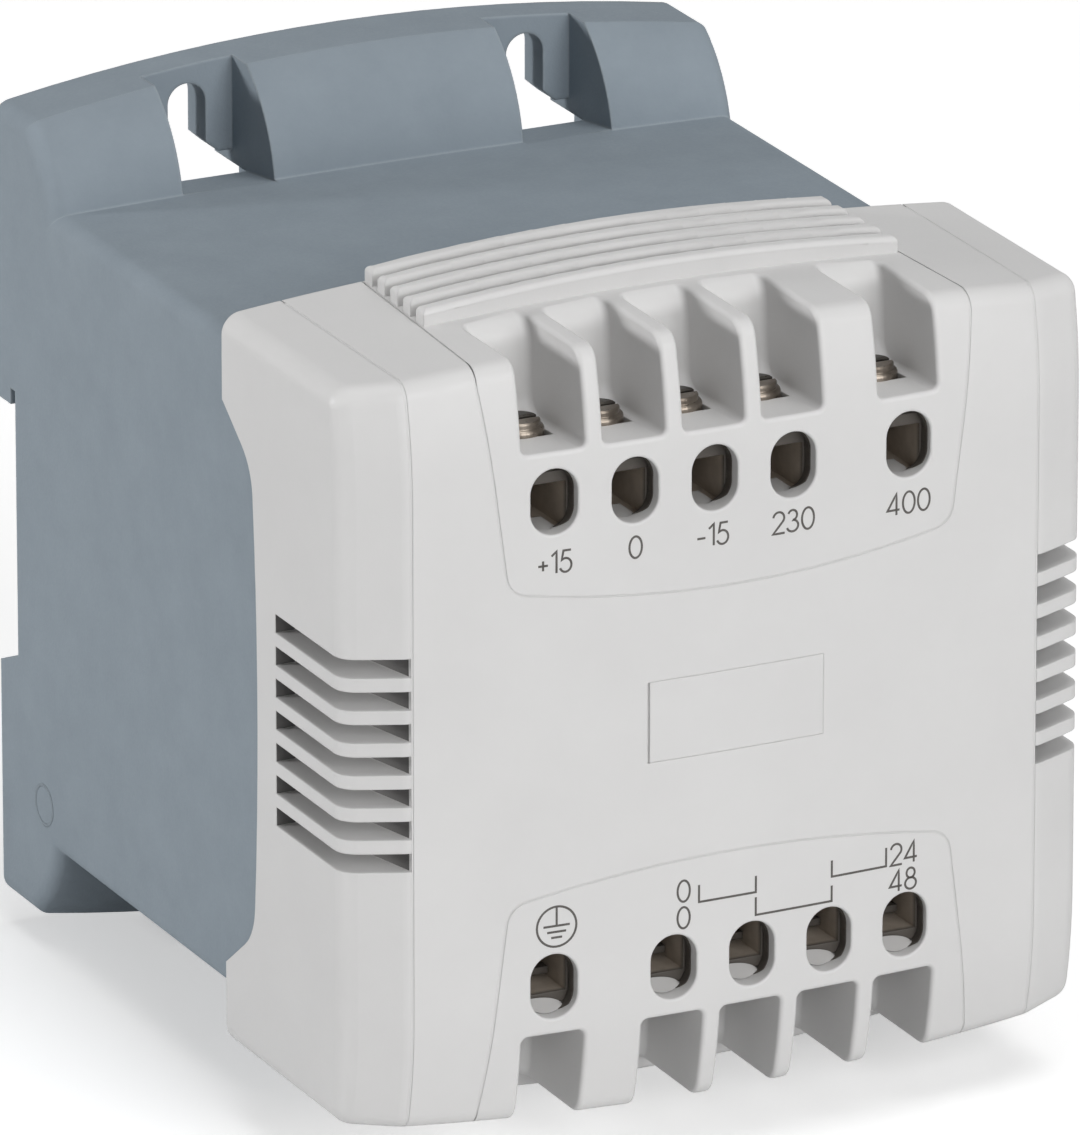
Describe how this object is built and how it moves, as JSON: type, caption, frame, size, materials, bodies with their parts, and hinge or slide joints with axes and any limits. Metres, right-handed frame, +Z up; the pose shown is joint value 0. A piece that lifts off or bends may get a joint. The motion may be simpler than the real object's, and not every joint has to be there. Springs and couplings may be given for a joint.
{
  "type": "electrical transformer",
  "caption": "Control transformer in a two-colour moulded enclosure with bowed front, ribbed screw terminal blocks above and below, side vents and a back for rail or screw mounting.",
  "frame": {"origin": "middle of the back plane, in the mouth of the rail channel", "axes": "+Z up, +Y out of the back towards the wall, the terminals face -Y"},
  "size_m": [0.1046, 0.116, 0.118],
  "materials": {
    "housing_plastic": "matte",
    "cover_plastic": "matte",
    "plated_steel": "satin",
    "screw_steel": "satin",
    "core_steel": "satin",
    "bobbin_plastic": "matte",
    "winding_copper": "satin",
    "coil_tape": "gloss",
    "lead_sleeve": "matte",
    "earth_sleeve": "matte",
    "latch_plastic": "matte",
    "spring_steel": "satin"
  },
  "bodies": {
    "enclosure": {"rear_housing": "housing_plastic", "front_cover": "cover_plastic", "upper_terminal_block": "cover_plastic", "lower_terminal_block": "cover_plastic", "upper_clamps": "plated_steel", "lower_clamps": "plated_steel", "upper_screws": "screw_steel", "lower_screws": "screw_steel", "upper_pressure_plates": "plated_steel", "lower_pressure_plates": "plated_steel", "core_e_stack": "core_steel", "core_i_stack": "core_steel", "bobbin": "bobbin_plastic", "primary_winding": "winding_copper", "secondary_winding": "winding_copper", "primary_tape": "coil_tape", "secondary_tape": "coil_tape", "core_bolts": "screw_steel", "core_washers": "plated_steel", "primary_leads": "lead_sleeve", "secondary_leads": "lead_sleeve", "earth_lead": "earth_sleeve", "latch_spring": "spring_steel"},
    "latch": {"rail_latch": "latch_plastic"}
  },
  "joints": [
    {"name": "latch_slide", "type": "slide", "parent": "enclosure", "child": "latch", "axis": [0, 0, -1], "range_m": [0, 0.0032], "stiffness_N_per_m": 1200, "springref_m": -0.003, "deforming": ["latch_spring"]}
  ]
}
